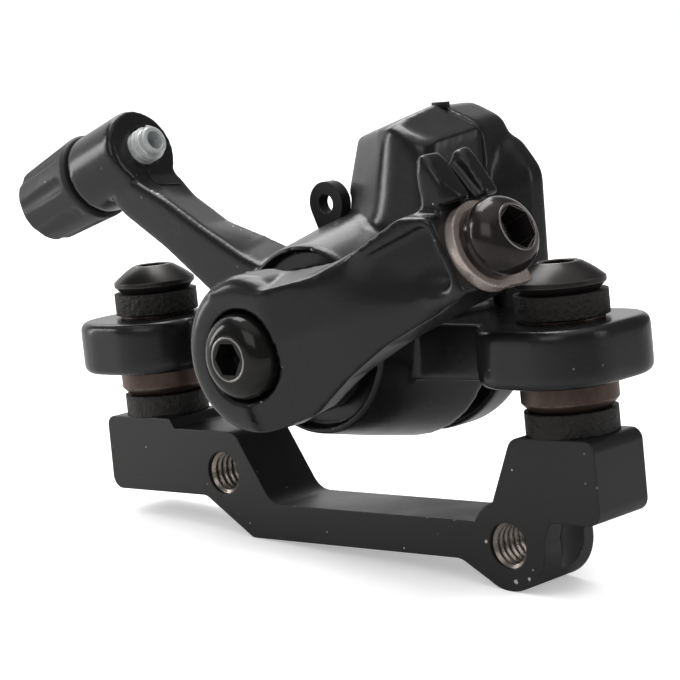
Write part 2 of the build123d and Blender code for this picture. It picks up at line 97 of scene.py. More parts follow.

# the camera sees the floor's own shade and shadow, lifted to white further out, and less lifted where pieces
# stand close to it, which paints contact shade onto the floor
floorMat = bpy.data.materials.new("paleFloor")
floorMat.use_nodes = True
ft = floorMat.node_tree
floorSkin = ft.nodes["Principled BSDF"]
floorSkin.inputs["Base Color"].default_value = (*floorInfo["colour"], 1)
floorSkin.inputs["Roughness"].default_value = floorInfo["rough"]
floorSkin.inputs["Specular IOR Level"].default_value = floorInfo["specular"]
floorSkin.inputs["Emission Color"].default_value = (1, 1, 1, 1)
floorWhere = addNode(ft, "ShaderNodeTexCoord")
floorFar = addNode(ft, "ShaderNodeVectorMath", operation="LENGTH")
floorLift = addNode(ft, "ShaderNodeMapRange", interpolation_type="SMOOTHSTEP",
                    From_Min=floorInfo["near"], From_Max=floorInfo["far"],
                    To_Min=floorInfo["lift"], To_Max=1.0)
# painted contact shade: the floor's lift is cut where the pieces stand close to it
floorOpen = addNode(ft, "ShaderNodeAmbientOcclusion", samples=8, Distance=floorInfo["contactReach"])
floorPaintedContactShade = addNode(ft, "ShaderNodeMapRange", interpolation_type="SMOOTHSTEP",
                     From_Min=floorInfo["contactFrom"], From_Max=floorInfo["contactTo"],
                     To_Min=floorInfo["contact"], To_Max=1.0)
floorRay = addNode(ft, "ShaderNodeLightPath")
floorBoth = addNode(ft, "ShaderNodeMath", operation="MULTIPLY")
floorSeen = addNode(ft, "ShaderNodeMath", operation="MULTIPLY")
ft.links.new(floorWhere.outputs["Object"], floorFar.inputs[0])
ft.links.new(floorFar.outputs["Value"], floorLift.inputs["Value"])
ft.links.new(floorOpen.outputs["AO"], floorPaintedContactShade.inputs["Value"])
ft.links.new(floorLift.outputs["Result"], floorBoth.inputs[0])
ft.links.new(floorPaintedContactShade.outputs["Result"], floorBoth.inputs[1])
ft.links.new(floorBoth.outputs[0], floorSeen.inputs[0])
ft.links.new(floorRay.outputs["Is Camera Ray"], floorSeen.inputs[1])
ft.links.new(floorSeen.outputs[0], floorSkin.inputs["Emission Strength"])
floor.data.materials.append(floorMat)

# the camera sees a white world, reflections see it bright low at the left behind and overhead, dim elsewhere
worldInfo = {"glow": 0.42, "dim": 0.14, "bright": 0.9,
             "leftBack": (-0.9, 0.43, 0), "leftBackFrom": 0.58, "leftBackTo": 0.85,
             "lowFrom": 0.85, "lowTo": 0.3, "overheadFrom": 0.68, "overheadTo": 0.95, "overhead": 0.8}
world = bpy.data.worlds.new("studio")
bpy.context.scene.world = world
world.use_nodes = True
wt = world.node_tree
wt.nodes.clear()
worldOut = addNode(wt, "ShaderNodeOutputWorld")
seen = addNode(wt, "ShaderNodeBackground", Strength=1.0, Color=(1, 1, 1, 1))
glow = addNode(wt, "ShaderNodeBackground", Strength=worldInfo["glow"])
mirror = addNode(wt, "ShaderNodeBackground", Color=(1, 1, 1, 1))
heading = addNode(wt, "ShaderNodeTexCoord")
leftBack = addNode(wt, "ShaderNodeVectorMath", operation="DOT_PRODUCT")
leftBack.inputs[1].default_value = worldInfo["leftBack"]
headingParts = addNode(wt, "ShaderNodeSeparateXYZ")
behind = addNode(wt, "ShaderNodeMapRange", interpolation_type="SMOOTHSTEP",
                 From_Min=worldInfo["leftBackFrom"], From_Max=worldInfo["leftBackTo"])
low = addNode(wt, "ShaderNodeMapRange", interpolation_type="SMOOTHSTEP",
              From_Min=worldInfo["lowFrom"], From_Max=worldInfo["lowTo"])
backdrop = addNode(wt, "ShaderNodeMath", operation="MULTIPLY")
overhead = addNode(wt, "ShaderNodeMapRange", interpolation_type="SMOOTHSTEP",
                   From_Min=worldInfo["overheadFrom"], From_Max=worldInfo["overheadTo"],
                   To_Max=worldInfo["overhead"])
brighter = addNode(wt, "ShaderNodeMath", operation="MAXIMUM")
mirrorShade = addNode(wt, "ShaderNodeMapRange", To_Min=worldInfo["dim"], To_Max=worldInfo["bright"])
ray = addNode(wt, "ShaderNodeLightPath")
pickMirror = addNode(wt, "ShaderNodeMixShader")
pickSeen = addNode(wt, "ShaderNodeMixShader")
through = addNode(wt, "ShaderNodeMath", operation="MAXIMUM")
wt.links.new(heading.outputs["Generated"], headingParts.inputs["Vector"])
wt.links.new(heading.outputs["Generated"], leftBack.inputs[0])
wt.links.new(leftBack.outputs["Value"], behind.inputs["Value"])
wt.links.new(headingParts.outputs["Z"], low.inputs["Value"])
wt.links.new(behind.outputs["Result"], backdrop.inputs[0])
wt.links.new(low.outputs["Result"], backdrop.inputs[1])
wt.links.new(headingParts.outputs["Z"], overhead.inputs["Value"])
wt.links.new(backdrop.outputs[0], brighter.inputs[0])
wt.links.new(overhead.outputs["Result"], brighter.inputs[1])
wt.links.new(brighter.outputs[0], mirrorShade.inputs["Value"])
wt.links.new(mirrorShade.outputs["Result"], mirror.inputs["Strength"])
wt.links.new(ray.outputs["Is Glossy Ray"], pickMirror.inputs["Fac"])
wt.links.new(glow.outputs["Background"], pickMirror.inputs[1])
wt.links.new(mirror.outputs["Background"], pickMirror.inputs[2])
wt.links.new(ray.outputs["Is Camera Ray"], through.inputs[0])
wt.links.new(ray.outputs["Is Transmission Ray"], through.inputs[1])
wt.links.new(through.outputs[0], pickSeen.inputs["Fac"])
wt.links.new(pickMirror.outputs["Shader"], pickSeen.inputs[1])
wt.links.new(seen.outputs["Background"], pickSeen.inputs[2])
wt.links.new(pickSeen.outputs["Shader"], worldOut.inputs["Surface"])

lamps = [
    {"name": "topBox", "place": (-150, 60, 410), "size": (0.26, 0.18), "power": 0.8},
    {"name": "roofBox", "place": (-270, 165, 300), "size": (0.26, 0.2), "power": 0.45},
    {"name": "leftBox", "place": (-390, -200, 80), "size": (0.08, 0.34), "power": 0.6},
    {"name": "rightBox", "place": (430, 200, 160), "size": (0.10, 0.3), "power": 0.2},
    {"name": "frontBox", "place": (120, -430, 300), "size": (0.36, 0.3), "power": 0.42},
]
aim = fromDrawing(0, 0, 10)
for lamp in lamps:
    light = bpy.data.lights.new(lamp["name"], "AREA")
    light.shape = "RECTANGLE"
    light.size, light.size_y = lamp["size"]
    light.energy = lamp["power"]
    lampObject = bpy.data.objects.new(lamp["name"], light)
    lampObject.location = fromDrawing(*lamp["place"])
    lampObject.rotation_mode = "QUATERNION"
    lampObject.rotation_quaternion = (aim - lampObject.location).to_track_quat("-Z", "Y")
    bpy.context.scene.collection.objects.link(lampObject)
print("stage ready")

# the surface that lies under a point of the photograph, counted across and down in the picture
surfaces = dict(nodes)


def onSurface(nodeName, px, py):
    spread = camera["lens"] / camera["sensor"] * imageSize
    across = (px - imageSize / 2 + camera["shiftX"] * imageSize) / spread
    upward = (imageSize / 2 + camera["shiftY"] * imageSize - py) / spread
    eye = fromDrawing(*camera["place"])
    towards = (turn @ Vector((across, upward, -1))).normalized()
    hit, spot = surfaces[nodeName].ray_cast(eye, towards)[:2]
    if not hit:
        print("no surface under", nodeName, px, py)
        return None
    return spot


# effects that the finishes share, each built once as a group
def newGroup(name, inputs, outputs):
    group = bpy.data.node_groups.new(name, "ShaderNodeTree")
    for label, kind, value in inputs:
        socket = group.interface.new_socket(label, in_out="INPUT", socket_type=kind)
        socket.default_value = value
    for label, kind in outputs:
        group.interface.new_socket(label, in_out="OUTPUT", socket_type=kind)
    return group, group.nodes.new("NodeGroupInput"), group.nodes.new("NodeGroupOutput")


grainInfo = {"speckScale": 520.0, "speckFull": 0.04, "speckEdge": 0.1, "speckRarity": 0.86}


def buildGrain():
    group, gin, gout = newGroup("surfaceGrain", [
        ("Vector", "NodeSocketVector", (0, 0, 0)), ("Scale", "NodeSocketFloat", 900.0),
        ("Amount", "NodeSocketFloat", 0.3), ("Specks", "NodeSocketFloat", 0.5),
        ("Cloud Scale", "NodeSocketFloat", 90.0)],
        [("Height", "NodeSocketFloat"), ("Speck", "NodeSocketFloat"), ("Cloud", "NodeSocketFloat")])
    fine = addNode(group, "ShaderNodeTexNoise", Detail=3.0, Roughness=0.55)
    group.links.new(gin.outputs["Vector"], fine.inputs["Vector"])
    group.links.new(gin.outputs["Scale"], fine.inputs["Scale"])
    gain = addNode(group, "ShaderNodeMath", operation="MULTIPLY")
    group.links.new(fine.outputs["Fac"], gain.inputs[0])
    group.links.new(gin.outputs["Amount"], gain.inputs[1])
    group.links.new(gain.outputs[0], gout.inputs["Height"])
    cells = addNode(group, "ShaderNodeTexVoronoi", Scale=grainInfo["speckScale"], Randomness=1.0)
    group.links.new(gin.outputs["Vector"], cells.inputs["Vector"])
    near = addNode(group, "ShaderNodeMapRange", From_Min=grainInfo["speckFull"],
                   From_Max=grainInfo["speckEdge"], To_Min=1.0, To_Max=0.0)
    group.links.new(cells.outputs["Distance"], near.inputs["Value"])
    rare = addNode(group, "ShaderNodeMath", operation="GREATER_THAN")
    rare.inputs[1].default_value = grainInfo["speckRarity"]
    split = addNode(group, "ShaderNodeSeparateColor")
    group.links.new(cells.outputs["Color"], split.inputs["Color"])
    group.links.new(split.outputs["Red"], rare.inputs[0])
    both = addNode(group, "ShaderNodeMath", operation="MULTIPLY")
    group.links.new(near.outputs["Result"], both.inputs[0])
    group.links.new(rare.outputs[0], both.inputs[1])
    scaled = addNode(group, "ShaderNodeMath", operation="MULTIPLY")
    group.links.new(both.outputs[0], scaled.inputs[0])
    group.links.new(gin.outputs["Specks"], scaled.inputs[1])
    group.links.new(scaled.outputs[0], gout.inputs["Speck"])
    cloud = addNode(group, "ShaderNodeTexNoise", Detail=4.0, Roughness=0.6)
    group.links.new(gin.outputs["Vector"], cloud.inputs["Vector"])
    group.links.new(gin.outputs["Cloud Scale"], cloud.inputs["Scale"])
    group.links.new(cloud.outputs["Fac"], gout.inputs["Cloud"])
    return group


edgeInfo = {"flatFrom": 0.995, "bentTo": 0.9, "raggedScale": 650.0}


# an edge mask for real worn edges, which on the bolt heads stands in for a painted highlight along their
# edges
def buildEdge():
    group, gin, gout = newGroup("edgeWearAndGlint", [
        ("Vector", "NodeSocketVector", (0, 0, 0)), ("Radius", "NodeSocketFloat", 0.0003),
        ("Breakup", "NodeSocketFloat", 0.5)], [("WornAndGlintEdges", "NodeSocketFloat")])
    soft = addNode(group, "ShaderNodeBevel", samples=4)
    group.links.new(gin.outputs["Radius"], soft.inputs["Radius"])
    sharp = addNode(group, "ShaderNodeNewGeometry")
    dot = addNode(group, "ShaderNodeVectorMath", operation="DOT_PRODUCT")
    group.links.new(soft.outputs["Normal"], dot.inputs[0])
    group.links.new(sharp.outputs["Normal"], dot.inputs[1])
    edge = addNode(group, "ShaderNodeMapRange", From_Min=edgeInfo["flatFrom"], From_Max=edgeInfo["bentTo"],
                   To_Min=0.0, To_Max=1.0)
    group.links.new(dot.outputs["Value"], edge.inputs["Value"])
    ragged = addNode(group, "ShaderNodeTexNoise", Scale=edgeInfo["raggedScale"], Detail=4.0, Roughness=0.7)
    group.links.new(gin.outputs["Vector"], ragged.inputs["Vector"])
    over = addNode(group, "ShaderNodeMath", operation="GREATER_THAN")
    group.links.new(ragged.outputs["Fac"], over.inputs[0])
    group.links.new(gin.outputs["Breakup"], over.inputs[1])
    chips = addNode(group, "ShaderNodeMath", operation="MULTIPLY")
    group.links.new(edge.outputs["Result"], chips.inputs[0])
    group.links.new(over.outputs[0], chips.inputs[1])
    group.links.new(chips.outputs[0], gout.inputs["WornAndGlintEdges"])
    return group


chipInfo = {"raggedScale": 2600.0, "reach": 2.0}


def buildSpot():
    group, gin, gout = newGroup("paintChip", [
        ("Vector", "NodeSocketVector", (0, 0, 0)), ("Centre", "NodeSocketVector", (0, 0, 0)),
        ("Radius", "NodeSocketFloat", 0.0003)], [("Mask", "NodeSocketFloat")])
    away = addNode(group, "ShaderNodeVectorMath", operation="DISTANCE")
    group.links.new(gin.outputs["Vector"], away.inputs[0])
    group.links.new(gin.outputs["Centre"], away.inputs[1])
    ragged = addNode(group, "ShaderNodeTexNoise", Scale=chipInfo["raggedScale"], Detail=3.0)
    group.links.new(gin.outputs["Vector"], ragged.inputs["Vector"])
    limit = addNode(group, "ShaderNodeMath", operation="MULTIPLY")
    group.links.new(gin.outputs["Radius"], limit.inputs[0])
    group.links.new(ragged.outputs["Fac"], limit.inputs[1])
    reach = addNode(group, "ShaderNodeMath", operation="MULTIPLY")
    reach.inputs[1].default_value = chipInfo["reach"]
    group.links.new(limit.outputs[0], reach.inputs[0])
    inside = addNode(group, "ShaderNodeMath", operation="LESS_THAN")
    group.links.new(away.outputs["Value"], inside.inputs[0])
    group.links.new(reach.outputs[0], inside.inputs[1])
    group.links.new(inside.outputs[0], gout.inputs["Mask"])
    return group


grainGroup = buildGrain()
edgeGroup = buildEdge()
spotGroup = buildSpot()


# what a finish has where its own entry says nothing else, lengths in metres
plainFinish = {"metal": 0.0, "grainScale": 900.0, "grain": 0.3, "specks": 0.0,
               "speckColour": (0.5, 0.48, 0.46), "cloud": 90.0, "cloudLow": 0.3, "cloudHigh": 0.7,
               "edgeRadius": 0.0002, "breakup": 0.6, "wearAndGlint": 0.0, "wearAndGlintColour": (0.45, 0.44, 0.42),
               "chips": [], "bump": 0.25, "bumpDepth": 0.0001, "round": 0.0003}


def makeFinish(name, own):
    info = {**plainFinish, **own}
    mat = bpy.data.materials.new(name)
    mat.use_nodes = True
    tree = mat.node_tree
    skin = tree.nodes["Principled BSDF"]
    skin.inputs["Metallic"].default_value = info["metal"]
    where = addNode(tree, "ShaderNodeTexCoord")
    grain = addNode(tree, "ShaderNodeGroup", node_tree=grainGroup, Scale=info["grainScale"],
                    Amount=info["grain"], Specks=info["specks"], Cloud_Scale=info["cloud"])
    edge = addNode(tree, "ShaderNodeGroup", node_tree=edgeGroup, Radius=info["edgeRadius"],
                   Breakup=info["breakup"])
    tree.links.new(where.outputs["Object"], grain.inputs["Vector"])
    tree.links.new(where.outputs["Object"], edge.inputs["Vector"])
    tone = addNode(tree, "ShaderNodeMix", data_type="RGBA", A=(*info["colour"], 1), B=(*info["colourTwo"], 1))
    tree.links.new(grain.outputs["Cloud"], tone.inputs["Factor"])
    dusty = addNode(tree, "ShaderNodeMix", data_type="RGBA", B=(*info["speckColour"], 1))
    tree.links.new(tone.outputs["Result"], dusty.inputs["A"])
    tree.links.new(grain.outputs["Speck"], dusty.inputs["Factor"])
    # edge colour: real wear on the plate and the other pieces, a painted highlight on the bolt heads
    wornAndGlint = addNode(tree, "ShaderNodeMix", data_type="RGBA", B=(*info["wearAndGlintColour"], 1))
    tree.links.new(dusty.outputs["Result"], wornAndGlint.inputs["A"])
    wearAndGlint = addNode(tree, "ShaderNodeMath", operation="MULTIPLY")
    wearAndGlint.inputs[1].default_value = info["wearAndGlint"]
    tree.links.new(edge.outputs["WornAndGlintEdges"], wearAndGlint.inputs[0])
    mask = wearAndGlint.outputs[0]
    for centre, radius in info["chips"]:
        spot = addNode(tree, "ShaderNodeGroup", node_tree=spotGroup, Centre=centre, Radius=radius)
        tree.links.new(where.outputs["Object"], spot.inputs["Vector"])
        joined = addNode(tree, "ShaderNodeMath", operation="MAXIMUM")
        tree.links.new(mask, joined.inputs[0])
        tree.links.new(spot.outputs["Mask"], joined.inputs[1])
        mask = joined.outputs[0]
    tree.links.new(mask, wornAndGlint.inputs["Factor"])
    tree.links.new(wornAndGlint.outputs["Result"], skin.inputs["Base Color"])
    rough = addNode(tree, "ShaderNodeMapRange", From_Min=info["cloudLow"], From_Max=info["cloudHigh"],
                    To_Min=info["rough"][0], To_Max=info["rough"][1])
    tree.links.new(grain.outputs["Cloud"], rough.inputs["Value"])
    tree.links.new(rough.outputs["Result"], skin.inputs["Roughness"])
    bump = addNode(tree, "ShaderNodeBump", Strength=info["bump"], Distance=info["bumpDepth"])
    tree.links.new(grain.outputs["Height"], bump.inputs["Height"])
    softNormal = addNode(tree, "ShaderNodeBevel", samples=6, Radius=info["round"])
    tree.links.new(softNormal.outputs["Normal"], bump.inputs["Normal"])
    tree.links.new(bump.outputs["Normal"], skin.inputs["Normal"])
    return mat


# paint chips where the photograph shows them: across, down, and the chip's radius in millimetres
def chipPlaces(nodeName, marks):
    places = [(onSurface(nodeName, px, py), size * mm) for px, py, size in marks]
    return [(tuple(place), size) for place, size in places if place]


bodyChips = chipPlaces("outer_body", [
    (384, 124.4, 0.62), (381, 125.5, 0.4), (152, 190, 0.18), (158, 193, 0.22), (163, 198, 0.15),
    (187, 216, 0.12), (226, 221, 0.16), (233, 226, 0.2), (241, 230, 0.14), (287, 246, 0.2),
    (576, 318, 0.12), (606, 332, 0.1)])
plateChips = chipPlaces("adapter_bracket", [
    (516, 582, 0.3), (529, 579, 0.24), (533, 570, 0.1), (404, 548, 0.12), (327, 532, 0.1),
    (250, 523, 0.1), (146, 447, 0.1), (486, 541, 0.22), (512, 470, 0.1), (590, 436, 0.14)])
leverChips = chipPlaces("lever_arm", [
    (243, 312, 0.1), (311, 263, 0.1), (345, 296, 0.08), (261, 402, 0.12), (433, 204, 0.12),
    (282, 367, 0.08)])
knobChips = chipPlaces("adjuster_knob", [(45, 182, 0.1), (66, 214, 0.12), (88, 232, 0.12)])

finishes = {
    "blackCasting": {"colour": (0.008, 0.008, 0.009), "colourTwo": (0.014, 0.014, 0.015),
                     "rough": (0.2, 0.29), "grainScale": 1500.0, "grain": 0.5, "specks": 0.35,
                     "round": 0.0003},
    "bodyCasting": {"colour": (0.009, 0.009, 0.01), "colourTwo": (0.014, 0.014, 0.015),
                    "rough": (0.2, 0.29), "grainScale": 1500.0, "grain": 0.5, "specks": 0.35,
                    "round": 0.0003, "chips": bodyChips, "wearAndGlintColour": (0.72, 0.7, 0.68)},
    "leverCasting": {"colour": (0.009, 0.009, 0.01), "colourTwo": (0.014, 0.014, 0.015),
                     "rough": (0.21, 0.3), "grainScale": 1500.0, "grain": 0.5, "specks": 0.35,
                     "round": 0.0003, "chips": leverChips, "wearAndGlintColour": (0.5, 0.49, 0.47)},
    "blackPlate": {"colour": (0.012, 0.012, 0.012), "colourTwo": (0.02, 0.019, 0.019),
                   "rough": (0.34, 0.46), "grainScale": 1800.0, "grain": 0.4, "specks": 0.35,
                   "round": 0.0003, "wearAndGlint": 0.6, "edgeRadius": 0.0003, "breakup": 0.64, "chips": plateChips,
                   "wearAndGlintColour": (0.6, 0.58, 0.56)},
    "padPlateBlack": {"colour": (0.014, 0.013, 0.013), "colourTwo": (0.03, 0.027, 0.026),
                      "rough": (0.36, 0.5), "grainScale": 1800.0, "grain": 0.5, "specks": 0.3,
                      "round": 0.0002, "wearAndGlint": 0.5, "edgeRadius": 0.0003, "breakup": 0.6},
    # its bright edge colour is a painted highlight along the head's edges
    "blackOxide": {"colour": (0.022, 0.02, 0.02), "colourTwo": (0.05, 0.045, 0.043), "rough": (0.24, 0.36),
                   "metal": 0.6, "grainScale": 1200.0, "grain": 0.3, "specks": 0.15, "round": 0.00015,
                   "bump": 0.1, "wearAndGlint": 0.5, "edgeRadius": 0.00018, "breakup": 0.38,
                   "wearAndGlintColour": (0.34, 0.32, 0.3)},
    "darkGloss": {"colour": (0.01, 0.01, 0.01), "colourTwo": (0.035, 0.034, 0.032), "rough": (0.1, 0.22),
                  "metal": 0.6, "cloud": 260.0, "grainScale": 1200.0, "grain": 0.4, "specks": 0.15,
                  "round": 0.00015, "bump": 0.1},
    # its bright edge colour is a painted highlight along the head's edges
    "roseOxide": {"colour": (0.02, 0.017, 0.017), "colourTwo": (0.06, 0.048, 0.048), "rough": (0.1, 0.24),
                  "metal": 0.6, "cloud": 300.0, "grainScale": 1200.0, "grain": 0.5, "specks": 0.15,
                  "round": 0.00015, "bump": 0.1, "wearAndGlint": 0.6, "edgeRadius": 0.00018, "breakup": 0.35,
                  "wearAndGlintColour": (0.42, 0.38, 0.36)},
    "sinteredBlack": {"colour": (0.014, 0.013, 0.013), "colourTwo": (0.05, 0.046, 0.043),
                      "rough": (0.42, 0.62), "metal": 0.45, "grainScale": 1500.0, "grain": 1.0,
                      "specks": 0.9, "round": 0.0003, "bump": 1.0, "bumpDepth": 0.0005},
    "brownSteel": {"colour": (0.17, 0.115, 0.095), "colourTwo": (0.05, 0.038, 0.034), "rough": (0.3, 0.48),
                   "metal": 0.8, "cloud": 260.0, "grainScale": 900.0, "grain": 0.8, "specks": 0.4,
                   "round": 0.0003, "bump": 0.4, "wearAndGlint": 0.5, "edgeRadius": 0.0003, "breakup": 0.5,
                   "wearAndGlintColour": (0.4, 0.33, 0.29)},
    "bronzeSteel": {"colour": (0.95, 0.83, 0.77), "colourTwo": (0.3, 0.23, 0.2), "rough": (0.16, 0.34),
                    "metal": 0.55, "grainScale": 900.0, "grain": 0.8, "specks": 0.5, "round": 0.0004,
                    "bump": 0.4, "cloud": 480.0},
    "brightZinc": {"colour": (0.93, 0.95, 0.95), "colourTwo": (0.78, 0.81, 0.81), "rough": (0.16, 0.3),
                   "metal": 0.4, "grainScale": 900.0, "grain": 0.4, "round": 0.00008, "bump": 0.15},
    "bareSteel": {"colour": (0.5, 0.49, 0.47), "colourTwo": (0.36, 0.35, 0.34), "rough": (0.25, 0.4),
                  "metal": 1.0, "grainScale": 900.0, "grain": 0.5, "round": 0.0001, "bump": 0.2},
    # bright rings that paint the highlight on the socket edges
    "paintedHighlightRim": {"colour": (0.42, 0.4, 0.38), "colourTwo": (0.2, 0.18, 0.17), "rough": (0.16, 0.3),
                 "metal": 0.8, "grainScale": 1500.0, "grain": 0.6, "round": 0.00005, "bump": 0.2},
    "bareThread": {"colour": (0.5, 0.45, 0.4), "colourTwo": (0.16, 0.13, 0.11), "rough": (0.2, 0.36),
                   "metal": 0.9, "grainScale": 1600.0, "grain": 1.0, "specks": 0.6, "round": 0.0001,
                   "bump": 0.5},
    "bearingBronze": {"colour": (0.45, 0.3, 0.14), "colourTwo": (0.32, 0.21, 0.1), "rough": (0.3, 0.45),
                      "metal": 1.0, "grainScale": 800.0, "grain": 0.6, "round": 0.0001},
    "padLining": {"colour": (0.1, 0.085, 0.07), "colourTwo": (0.24, 0.19, 0.15), "rough": (0.7, 0.9),
                  "metal": 0.2, "grainScale": 450.0, "grain": 1.2, "specks": 1.0, "round": 0.0002,
                  "bump": 0.9},
    "blackPlastic": {"colour": (0.017, 0.017, 0.018), "colourTwo": (0.024, 0.024, 0.025),
                     "rough": (0.4, 0.55), "grainScale": 1400.0, "grain": 0.6, "specks": 0.3,
                     "round": 0.0004, "chips": knobChips, "wearAndGlintColour": (0.45, 0.45, 0.44)},
}
made = {name: makeFinish(name, info) for name, info in finishes.items()}
nodeFinish = {
    "adapter_bracket": "blackPlate", "outer_body": "bodyCasting", "inner_body": "blackCasting",
    "lever_arm": "leverCasting", "mount_bolts": "blackOxide", "body_bolts": "blackOxide",
    "lever_bolt": "darkGloss", "clamp_bolt": "roseOxide", "lower_cup_washers": "sinteredBlack",
    "upper_cup_washers": "sinteredBlack", "lower_cone_washers": "brownSteel",
    "upper_cone_washers": "brownSteel", "clamp_washer": "bronzeSteel", "adjuster_barrel": "brightZinc",
    "adjuster_knob": "blackPlastic", "knob_washer": "blackPlastic", "inner_dial": "blackPlastic",
    "inner_spindle": "bareSteel", "cam_shaft": "bareSteel", "cam_balls": "bareSteel",
    "pressure_foot": "bareSteel", "thrust_washer": "bearingBronze", "shaft_bush": "bearingBronze",
    "outer_pad_plate": "padPlateBlack", "inner_pad_plate": "padPlateBlack",
    "outer_pad_lining": "padLining", "inner_pad_lining": "padLining",
}
for name, node in nodes.items():
    node.data.materials.clear()
    node.data.materials.append(made[nodeFinish[name]])
print("finishes ready")


# picking by place or by the way a face looks, and the last step that every piece goes through
squarely = 0.9


def pickVerts(piece, test):
    bpy.ops.object.mode_set(mode="EDIT")
    bpy.ops.mesh.select_mode(type="VERT")
    bpy.ops.mesh.select_all(action="DESELECT")
    bpy.ops.object.mode_set(mode="OBJECT")
    for vert in piece.data.vertices:
        vert.select = bool(test(vert.co))
    bpy.ops.object.mode_set(mode="EDIT")


def pickFaces(piece, test):
    bpy.ops.object.mode_set(mode="EDIT")
    bpy.ops.mesh.select_mode(type="FACE")
    bpy.ops.mesh.select_all(action="DESELECT")
    bpy.ops.object.mode_set(mode="OBJECT")
    for face in piece.data.polygons:
        face.select = bool(test(face.center, face.normal))
    bpy.ops.object.mode_set(mode="EDIT")


def settle(piece, name, body, finish, smooth=35):
    bpy.ops.object.select_all(action="DESELECT")
    piece.select_set(True)
    bpy.context.view_layer.objects.active = piece
    bpy.ops.object.transform_apply(location=True, rotation=True, scale=True)
    bpy.ops.object.shade_smooth_by_angle(angle=math.radians(smooth))
    piece.name = name
    piece.data.materials.clear()
    piece.data.materials.append(made[finish])
    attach(piece, body)
    print(name, "made")


# width of a thread's ridge, at its root as a share of the pitch and at its crest as a share of the root's
ridgeShape = {"root": 0.86, "crest": 0.24}


def threadRidge(info):
    # a small wedge outline, wound up along the object's own Z axis
    bpy.ops.object.select_all(action="DESELECT")
    bpy.ops.mesh.primitive_plane_add(size=mm)
    ridge = bpy.context.object
    root, crest = info["root"], info["crest"]
    bpy.ops.object.mode_set(mode="EDIT")
    bpy.ops.transform.rotate(value=math.pi / 2, orient_axis="X", center_override=(0, 0, 0))
    bpy.ops.transform.resize(value=(abs(root - crest), 1, info["pitch"] * ridgeShape["root"]))
    bpy.ops.transform.translate(value=((root + crest) / 2 * mm, 0, info["start"] * mm))
    pickVerts(ridge, lambda co: abs(co.x - crest * mm) < abs(co.x - root * mm))
    bpy.ops.transform.resize(value=(1, 1, ridgeShape["crest"]))
    bpy.ops.mesh.select_all(action="SELECT")
    bpy.ops.mesh.delete(type="ONLY_FACE")
    bpy.ops.object.mode_set(mode="OBJECT")
    screw = ridge.modifiers.new("screw", "SCREW")
    screw.axis = "Z"
    screw.angle = 2 * math.pi
    screw.screw_offset = info["pitch"] * mm
    screw.iterations = info["turns"]
    screw.steps = info["steps"]
    screw.render_steps = info["steps"]
    bpy.ops.object.modifier_apply(modifier="screw")
    bpy.ops.object.mode_set(mode="EDIT")
    bpy.ops.mesh.select_mode(type="EDGE")
    bpy.ops.mesh.select_all(action="DESELECT")
    bpy.ops.mesh.select_non_manifold()
    bpy.ops.mesh.fill_holes(sides=0)
    bpy.ops.mesh.select_all(action="SELECT")
    bpy.ops.mesh.normals_make_consistent(inside=False)
    bpy.ops.object.mode_set(mode="OBJECT")
    return ridge


# the cable barrel, whose axis the grooves of the knob are cut about
barrelInfo = {"root": (-29.5, -5.4, 38.8), "tilt": 19.5, "proud": 2.4, "length": 19.3, "core": 2.1,
              "bore": 1.32, "chamfer": 0.28, "chamferRise": 0.2, "endWithin": 0.2, "sides": 56}
barrelTurn = math.radians(-90 - barrelInfo["tilt"])


def cutGrooves(piece, info):
    # one round-ended cutter, turned about the barrel's axis and leant with the taper of the knob
    bpy.ops.object.select_all(action="DESELECT")
    bpy.ops.mesh.primitive_cylinder_add(vertices=info["sides"], radius=info["radius"] * mm,
                                        depth=info["length"] * mm)
    cutter = bpy.context.object
    bpy.ops.object.mode_set(mode="EDIT")
    bpy.ops.mesh.select_all(action="SELECT")
    bpy.ops.transform.translate(value=(0, 0, info["length"] / 2 * mm))
    pickFaces(cutter, lambda centre, normal: normal.z < -squarely)
    bpy.ops.mesh.bevel(offset=info["rounding"] * mm, segments=info["roundSteps"])
    bpy.ops.object.mode_set(mode="OBJECT")
    axis = Matrix.Translation(fromDrawing(*barrelInfo["root"])) @ Matrix.Rotation(barrelTurn, 4, "Y")
    lean = Matrix.Rotation(math.radians(-info["lean"]), 4, "Y")
    stand = Matrix.Translation((info["ring"] * mm, 0, info["start"] * mm)) @ lean
    for count in range(info["count"]):
        cutter.matrix_world = axis @ Matrix.Rotation(2 * math.pi / info["count"] * count, 4, "Z") @ stand
        groove = piece.modifiers.new("groove", "BOOLEAN")
        groove.operation = "DIFFERENCE"
        groove.object = cutter
        bpy.context.view_layer.objects.active = piece
        bpy.ops.object.modifier_apply(modifier="groove")
    bpy.data.objects.remove(cutter)


